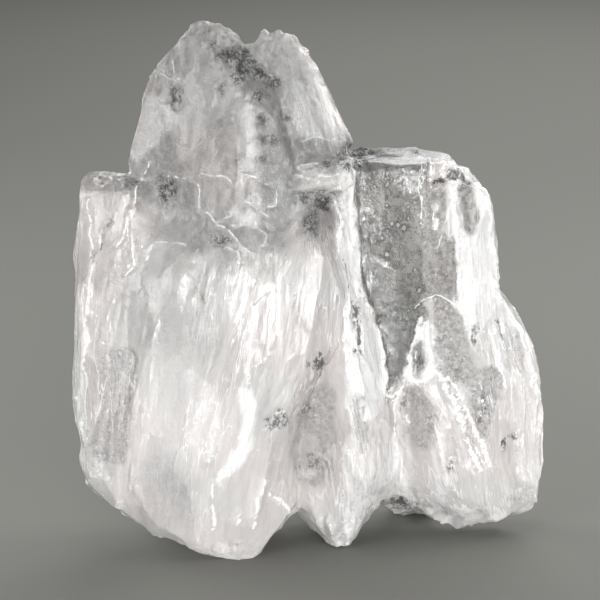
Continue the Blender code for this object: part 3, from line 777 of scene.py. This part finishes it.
def halite():
    """Halite: glassy, milky salt that lets light through, white where broken, clear in its windows."""
    material = bpy.data.materials.new("halite")
    t = Tree(material)
    grain = t.field("grain")[0]
    _, even_clear, veil, dark = t.field("body")
    _, line_place, line_tone, frost = t.field("line")
    _, fibre, crumb, _ = t.field("wear")
    metres = t.add("ShaderNodeTexCoord").outputs["Object"]
    place = t.add("ShaderNodeVectorMath", {"operation": "SCALE"}, i0=metres, Scale=1.0 / MM).outputs[0]
    look = salt_patterns(t, grain, place)
    ragged, broken, streak, vein = look["ragged"], look["broken"], look["streak"], look["vein"]
    cloud, grit, thread = look["cloud"], look["grit"], look["thread"]
    bubble, rim = bubbles(t, place, ragged)
    frost = t.times(t.ragged_edge(frost, ragged, 4.0), t.scaled(streak, 0.3, 0.7))
    clear = t.ragged_edge(even_clear, ragged, 6.0)

    # The drawn edges and slits, with a painted highlight that makes one side of an edge paler, and the fine
    # lines of the grain.
    line_place = t.scaled(ragged, 4.0, line_place)
    line = t.maths("SUBTRACT", 1.0, t.ramp(t.maths("ABSOLUTE", line_place), 0.2, 1.4))
    line = t.times(line, broken)
    edge_tone = t.maths("MAXIMUM", line_tone, 0.0)
    slit_tone = t.maths("MAXIMUM", t.times(line_tone, -1.0), 0.0)
    white_line_and_highlight = t.times(line, edge_tone, clamp=True)
    slit_shade = t.times(line, slit_tone, clamp=True)
    # Painted highlight: the skin on one side of a raised edge is painted paler, as if that side caught the
    # light.
    edge_highlight = t.times(t.ramp(line_place, 0.0, 8.0, 1.0, 0.0), t.maths("GREATER_THAN", line_place, 0.0))
    edge_highlight = t.times(edge_highlight, t.times(edge_tone, 0.45))
    fine_line = t.maths("MAXIMUM", look["crack"], t.times(look["needle"], t.scaled(frost, 0.5, 0.3)))
    fine_line = t.times(fine_line, t.times(look["patch"], fibre))
    white_line_and_highlight = t.maths("MAXIMUM", white_line_and_highlight, t.times(fine_line, 0.8))

    # The milky body, duller between streaks and in veils, whiter where it is frosted, and paler beside the
    # edges by their painted highlight.
    dull = t.times(t.maths("SUBTRACT", 1.0, streak), t.times(fibre, 0.3))
    dull = t.plus(dull, veil, t.scaled(grit, -0.35, 1.0))
    dull = t.plus(dull, cloud, t.scaled(veil, 0.3, 0.12))
    dull = t.plus(dull, edge_highlight, -0.6)
    dull = t.times(dull, t.maths("SUBTRACT", 1.0, t.times(frost, 0.5)), clamp=True)
    milk, dull_milk = [t.mix(look["greyer"], *map(linear, pair)) for pair in (MILK, DULL_MILK)]
    colour = t.mix(dull, milk, dull_milk)
    colour = t.mix(t.times(vein, t.scaled(veil, 0.25, 0.12)), colour, linear(MILK_VEIN))
    colour = t.mix(t.times(frost, 0.9), colour, linear(FROST_WHITE))

    # The clear panes: their grey, in deep and pale clouds, is painted, standing for the darker background
    # seen through the clear salt; over it cracks, and bubbles with a painted bright middle and a dark rim.
    pane = t.mix(t.scaled(cloud, 0.45, t.times(grit, 0.55)), linear(PANE_DARK_SEEN_THROUGH), linear(PANE_PALE_SEEN_THROUGH))
    pane = t.mix(t.times(veil, 0.5), pane, linear(PANE_VEILED))
    pane = t.mix(t.times(vein, 0.5), pane, linear(PANE_VEIN))
    pane = t.mix(t.times(look["net"], 0.7), pane, linear(PANE_CRACK))
    pane = t.mix(t.times(rim, 0.6), pane, linear(BUBBLE_RIM))
    pane = t.mix(bubble, pane, linear(BUBBLE))
    colour = t.mix(t.times(clear, 0.9), colour, pane)

    # The dark inclusions, with one spot of painted shade in a notch, and over all the edges, white with their
    # painted highlight, and the slits, dark with painted shade.
    blot = t.ramp(t.scaled(dark, 0.2, look["crinkle"]), 0.57, 0.72)
    blot = t.times(t.scaled(blot, 0.6, 0.32), t.ramp(dark, 0.0, 0.7))
    colour = t.mix(blot, colour, linear(INCLUSION))
    colour = t.mix(t.times(t.times(vein, dark), 0.6), colour, linear(INCLUSION_VEIN))
    # The edges' white is partly salt that is whiter where broken and partly a painted highlight where the
    # edges catch the light; the fine lines of the grain are the salt's own.
    colour = t.mix(white_line_and_highlight, colour, linear(EDGE_WHITE_AND_HIGHLIGHT))
    # Painted shade: the slits are painted near black, for the shade inside them.
    colour = t.mix(t.times(slit_shade, 0.9), colour, linear(SLIT_SHADE))

    # How far light passes: most in the panes, least in white edges and dark inclusions.
    see = t.plus(t.scaled(clear, 0.35, 0.25), veil, 0.2)
    see = t.less(see, frost, 0.2)
    see = t.less(see, white_line_and_highlight, 0.6)
    see = t.less(see, blot, 0.7)
    see = t.less(see, slit_shade, 0.5, clamp=True)

    rough = t.scaled(t.times(thread, fibre), 0.14, 0.14)
    for part, share in ((frost, 0.1), (crumb, 0.15), (veil, 0.25)):
        rough = t.plus(rough, part, share)
    gloss = t.scaled(veil, -0.32, 0.35, clamp=True)

    height = t.times(t.scaled(thread, 0.4, streak), t.times(fibre, fibre))
    height = t.plus(height, fine_line, 0.8)
    height = t.plus(height, grit, t.scaled(crumb, 1.2, 0.4))
    height = t.plus(height, dark, -0.15)
    height = t.plus(height, t.times(even_clear, bubble), 0.5)
    bump = t.add("ShaderNodeBump", None, Strength=0.6, Distance=0.15 * MM, Height=height)

    inputs = t.shader.inputs
    t.put(inputs["Base Color"], colour)
    t.put(inputs["Transmission Weight"], see)
    t.put(inputs["Roughness"], rough)
    t.put(inputs["Coat Weight"], gloss)
    t.put(inputs["Normal"], bump.outputs[0])
    t.shader.subsurface_method = "BURLEY"
    inputs["IOR"].default_value = HALITE_IOR
    inputs["Coat Roughness"].default_value = 0.04
    inputs["Subsurface Weight"].default_value = 1.0
    inputs["Subsurface Radius"].default_value = (1.0, 0.97, 0.94)
    inputs["Subsurface Scale"].default_value = 0.9 * MM
    return material


def matte(name, colour, roughness):
    """A plain dull material for the studio."""
    material = bpy.data.materials.new(name)
    material.use_nodes = True
    shader = material.node_tree.nodes["Principled BSDF"]
    shader.inputs["Base Color"].default_value = linear(colour)
    shader.inputs["Roughness"].default_value = roughness
    return material


# ---------------------------------------------------------------- studio


def cove():
    """A round floor that curves up into a wall on all sides."""
    level, floor, bend, top = 0.6, 1.5, 0.5, 1.6  # m
    bm = bmesh.new()
    profile = [bm.verts.new((0.0, 0.0, 0.0)), bm.verts.new((level, 0.0, 0.0))]
    steps = 12
    for step in range(steps + 1):
        angle = math.radians(90.0 * step / steps)
        profile.append(bm.verts.new((floor + bend * math.sin(angle), 0.0, bend - bend * math.cos(angle))))
    profile.append(bm.verts.new((floor + bend, 0.0, top)))
    edges = [bm.edges.new(pair) for pair in zip(profile, profile[1:])]
    bmesh.ops.spin(bm, geom=profile + edges, cent=(0, 0, 0), axis=(0, 0, 1), angle=math.tau, steps=64,
                   use_merge=True)
    bmesh.ops.remove_doubles(bm, verts=bm.verts[:], dist=1e-5)
    bmesh.ops.recalc_face_normals(bm, faces=bm.faces[:])
    if sum(face.normal.z for face in bm.faces) < 0.0:
        bmesh.ops.reverse_faces(bm, faces=bm.faces[:])
    mesh = bpy.data.meshes.new("cove")
    bm.to_mesh(mesh)
    bm.free()
    mesh.shade_smooth()
    mesh.materials.append(matte("grey_paper", "#797974", 0.9))
    obj = bpy.data.objects.new("cove", mesh)
    bpy.context.scene.collection.objects.link(obj)


def softbox(name, place, size, watts, target, spread=180.0):
    """A soft studio light that the camera doesn't see; lengths in metres, spread in degrees."""
    light = bpy.data.lights.new(name, "AREA")
    light.shape = "RECTANGLE"
    light.size, light.size_y = size
    light.energy = watts
    light.spread = math.radians(spread)
    obj = bpy.data.objects.new(name, light)
    obj.location = place
    obj.rotation_euler = (Vector(target) - Vector(place)).to_track_quat("-Z", "Y").to_euler()
    bpy.context.scene.collection.objects.link(obj)
    obj.visible_camera = False


def camera():
    """The camera of the front view."""
    data = bpy.data.cameras.new("camera")
    data.sensor_width = 36.0
    data.lens = data.sensor_width * DISTANCE * VIEW_SCALE / VIEW_SIZE
    data.clip_start = 0.01
    obj = bpy.data.objects.new("camera", data)
    obj.location = Vector((AIM + TOWARDS * DISTANCE) * MM)
    obj.rotation_euler = Vector(-TOWARDS).to_track_quat("-Z", "Y").to_euler()
    bpy.context.scene.collection.objects.link(obj)
    bpy.context.scene.camera = obj


def world():
    """Weak even light from the room."""
    room = bpy.data.worlds.new("room")
    bpy.context.scene.world = room
    room.use_nodes = True
    shade = room.node_tree.nodes["Background"]
    shade.inputs["Color"].default_value = linear("#C8CACA")
    shade.inputs["Strength"].default_value = 0.3


crystal = fine_skin()
carve(crystal)
crystal.data.materials.clear()
crystal.data.materials.append(halite())
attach(crystal, "root")
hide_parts("salt_crystal")
cove()
world()
camera()
softbox("key", (-0.36, -0.36, 0.16), (0.25, 0.25), 1.05, (0, 0, 0))
softbox("fill", (0.3, -0.75, 0.16), (0.6, 0.26), 4.1, (0, 0, 0))
softbox("low", (0.3, -0.62, 0.09), (0.4, 0.08), 0.10, (0.01, 0, -0.02), spread=26.0)
softbox("behind", (0.22, 0.6, 0.42), (0.6, 0.36), 3.0, (0, 0, 0.02))
softbox("left_rim", (-0.34, 0.18, 0.14), (0.16, 0.24), 0.9, (0, 0, 0.05))
softbox("right_rim", (0.34, 0.16, 0.14), (0.16, 0.24), 0.8, (0, 0, 0.05))
softbox("top", (0.0, 0.0, 0.42), (0.25, 0.2), 0.3, (0, 0, 0.05))
softbox("backdrop", (0.0, 0.9, 0.7), (1.0, 0.3), 4.6, (0, 1.9, 0.45))
scene = bpy.context.scene
scene.view_settings.view_transform = "Standard"
scene.cycles.max_bounces = 7
scene.cycles.diffuse_bounces = 2
scene.cycles.transmission_bounces = 6
